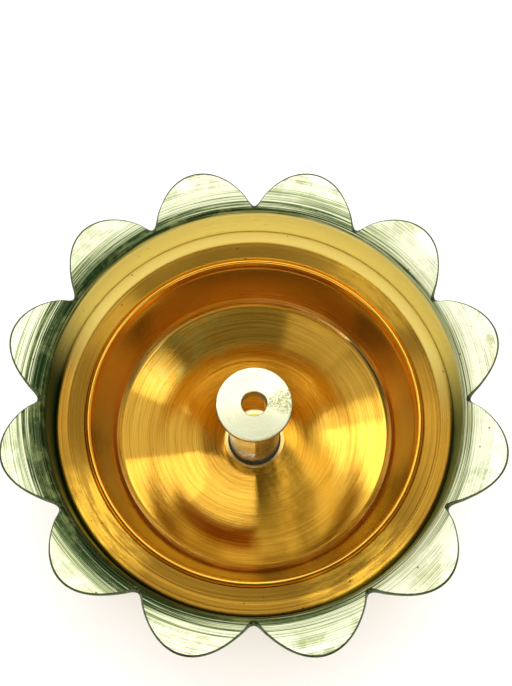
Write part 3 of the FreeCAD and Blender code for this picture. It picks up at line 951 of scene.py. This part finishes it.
def build_light():
    world = bpy.data.worlds.new("studio")
    world.use_nodes = True
    background = world.node_tree.nodes["Background"]
    background.inputs[0].default_value = (0.19, 0.185, 0.165, 1)
    background.inputs[1].default_value = 1.0
    bpy.context.scene.world = world
    card("overhead_softbox", 90, 20, 32, 22, 1.85)
    card("back_left", 146, 46, 52, 28, 1.0)
    card("back_left_strip", 148, 43, 22, 11, 1.4)
    card("left", 192, 48, 60, 32, 0.45)
    card("back_right", 69, 45, 52, 30, 1.1)
    card("right", 12, 48, 76, 34, 0.6)
    card("right_strip", 348, 37, 20, 11, 1.1)
    card("right_low", 318, 55, 38, 18, 0.9)
    card("above_front", 268, 14, 44, 14, 0.55)
    card("front_left_high", 220, 25, 22, 22, 0.33)
    card("front_low", 262, 66, 100, 24, 2.2)
    card("horizon_behind", 90, 74, 150, 24, 0.4)
    card("floor_wash", 0, 2, 60, 60, 2.9, glossy=False)


CAMERA_PLACE = (0.00043, -0.05097, 0.23271)
CAMERA_TILT = 19.35        # degrees from straight down
CAMERA_TURN = 0.05         # degrees about Z
SENSOR = 36.0              # millimetres along the longer side of the picture
CAMERA_LENS = 48.468805    # millimetres


def build_camera():
    data = bpy.data.cameras.new("camera")
    data.sensor_width = SENSOR
    data.lens = CAMERA_LENS
    data.clip_start = 0.01
    camera = bpy.data.objects.new("camera", data)
    bpy.context.scene.collection.objects.link(camera)
    camera.location = CAMERA_PLACE
    camera.rotation_euler = (math.radians(CAMERA_TILT), 0, math.radians(CAMERA_TURN))
    bpy.context.scene.camera = camera


# ---------------------------------------------------------------- the lamp

build_camera()
build_light()
build_floor()

GOLD = (0.97, 0.56, 0.075, 1)
GOLD_DARK = (0.66, 0.33, 0.03, 1)

bowl_polished = turned_brass("bowl_polished_brass", GOLD, GOLD_DARK, 0.09, anisotropy=0.7,
                             relief=0.75, extra=wall_colours)
bowl_satin = turned_brass("flange_satin_brass", (0.44, 0.235, 0.028, 1), (0.30, 0.15, 0.015, 1),
                          0.24, anisotropy=0.8, relief=0.08, extra=flange_colours)
plain_brass = turned_brass("plain_turned_brass", (0.90, 0.66, 0.24, 1), (0.66, 0.42, 0.11, 1),
                           0.22, relief=0.3)
petal_face = turned_brass("petal_patina_brass", (0.86, 0.72, 0.30, 1), (0.66, 0.52, 0.16, 1),
                          0.30, relief=0.5, extra=petal_colours)
petal_face.shader.inputs["Metallic"].default_value = 0.15
petal_face.shader.inputs["IOR"].default_value = 1.12
# Near-black green edge material: a painted dark outline, painted shade along the petals' edges.
petal_outline_painted_shade = turned_brass("petal_edge_painted_shade", (0.11, 0.14, 0.05, 1), (0.03, 0.045, 0.015, 1), 0.45)
cup_outside = turned_brass("cup_outside_brass", (0.92, 0.66, 0.20, 1), (0.70, 0.44, 0.09, 1),
                           0.16, relief=0.25)
cap_face = turned_brass("cap_bright_brass", (0.95, 0.96, 0.70, 1), (0.86, 0.87, 0.52, 1), 0.3,
                        anisotropy=0.6, tarnish=0.1, extra=cap_colours)
# Darker copy of the cap's brass for its edge and hole: painted shade.
cap_edge_painted_shade = turned_brass("cap_edge_painted_shade_brass", (0.50, 0.40, 0.14, 1), (0.30, 0.22, 0.06, 1), 0.3)
tube_outside = turned_brass("tube_filed_brass", (0.95, 0.84, 0.5, 1), (0.80, 0.64, 0.28, 1), 0.3,
                            relief=0.4, extra=tube_colours)
tube_inside = turned_brass("tube_bore_brass", (0.95, 0.66, 0.16, 1), (0.85, 0.5, 0.09, 1), 0.3)
tube_inside.shader.inputs["Metallic"].default_value = 0.8
seal_rubber = rubber("seal_rubber")
fastener_steel = steel("fastener_steel")

build_bowl(bowl_polished.material, bowl_satin.material, plain_brass.material)
build_cup(petal_face.material, petal_outline_painted_shade.material, cup_outside.material)
build_cap(cap_face.material, cap_edge_painted_shade.material)
build_tube(tube_outside.material, tube_inside.material)
build_seal(seal_rubber)
build_foot(cup_outside.material)
build_stud(plain_brass.material)
build_nut(fastener_steel)
build_washers(fastener_steel)

bpy.context.scene.view_settings.view_transform = "Standard"
bpy.context.scene.cycles.glossy_bounces = 10
